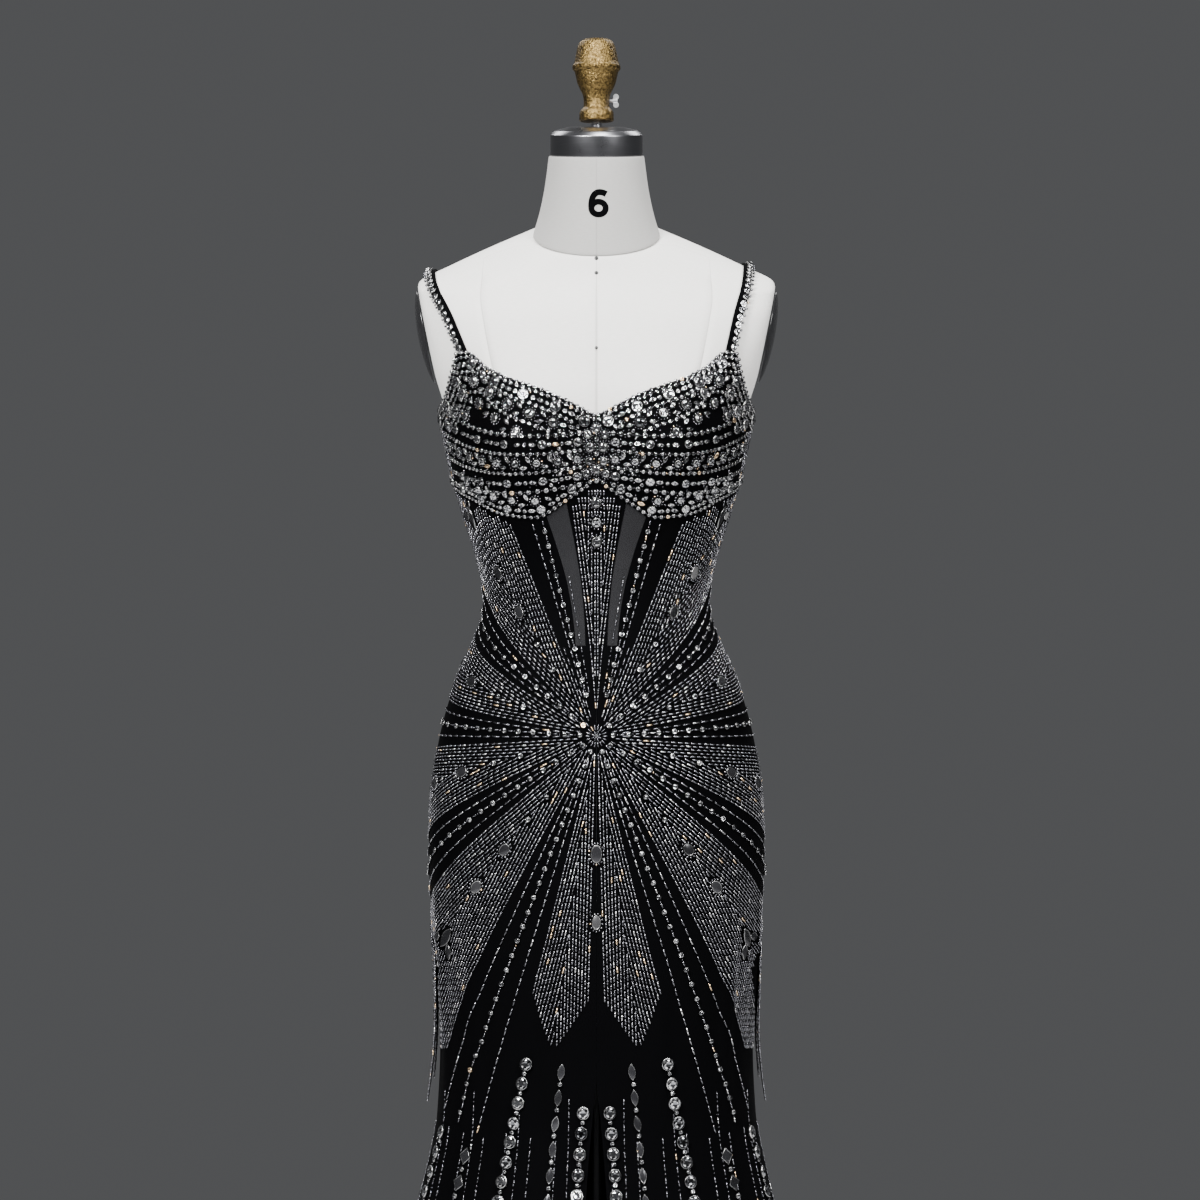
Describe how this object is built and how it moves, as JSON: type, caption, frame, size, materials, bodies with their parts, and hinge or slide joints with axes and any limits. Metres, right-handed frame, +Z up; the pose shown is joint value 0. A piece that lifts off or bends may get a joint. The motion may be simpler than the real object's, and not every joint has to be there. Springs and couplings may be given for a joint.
{
  "type": "evening gown on dress form",
  "caption": "Floor-length trumpet evening gown in black beaded net with thin straps and a front slit, worn by a limbless linen dress form on a round stand.",
  "frame": {"origin": "middle of the stand's flat underside, on the floor", "axes": "+Z up along the pole, -Y towards the front of the gown, +X to the viewer's right when facing the front"},
  "size_m": [0.721, 0.6551, 1.6545],
  "materials": {
    "beaded_net": "black net on a black lining, closely worked with glass bugles and set stones",
    "sheer_net": "unlined black net that the white form shows through as grey",
    "strap_band": "black band set with a row of clear stones",
    "glass_beads": "strings of silver-lined glass beads",
    "black_metal": "black lacquered zip slider and pull",
    "linen": "tightly stretched off-white linen with fine seams",
    "dark_plate": "dark polished oval plate",
    "brushed_steel": "fine turned brushing",
    "antique_gold": "antique gold with a fine hammered grain",
    "chrome": "bright chrome",
    "cast_iron": "black painted cast iron"
  },
  "bodies": {
    "gown_and_form": {"cup_left": "beaded_net", "cup_right": "beaded_net", "bodice_centre_front": "beaded_net", "bodice_sheer_left": "sheer_net", "bodice_sheer_right": "sheer_net", "bodice_side_left": "beaded_net", "bodice_side_right": "beaded_net", "bodice_back_left": "beaded_net", "bodice_back_right": "beaded_net", "strap_left": "strap_band", "strap_right": "strap_band", "skirt_front_left": "beaded_net", "skirt_front_right": "beaded_net", "skirt_back_left": "beaded_net", "skirt_back_right": "beaded_net", "fringe_left": "glass_beads", "fringe_right": "glass_beads", "zip_slider": "black_metal", "form_torso": "linen", "form_neck": "linen", "arm_plate_left": "dark_plate", "arm_plate_right": "dark_plate", "neck_cap": "brushed_steel", "finial_rod": "brushed_steel", "finial": "antique_gold", "stand_pole": "brushed_steel", "stand_base": "cast_iron"},
    "screw": {"wing_screw": "chrome"},
    "pull": {"zip_pull": "black_metal"}
  },
  "joints": [
    {"name": "screw_turn", "type": "hinge", "parent": "gown_and_form", "child": "screw", "pos_m": [0.0185, 0, 1.589], "axis": [1, 0, 0], "continuous": true},
    {"name": "pull_swing", "type": "hinge", "parent": "gown_and_form", "child": "pull", "pos_m": [0, 0.10797, 1.173], "axis": [1, 0, 0], "range_deg": [0, 150]}
  ]
}
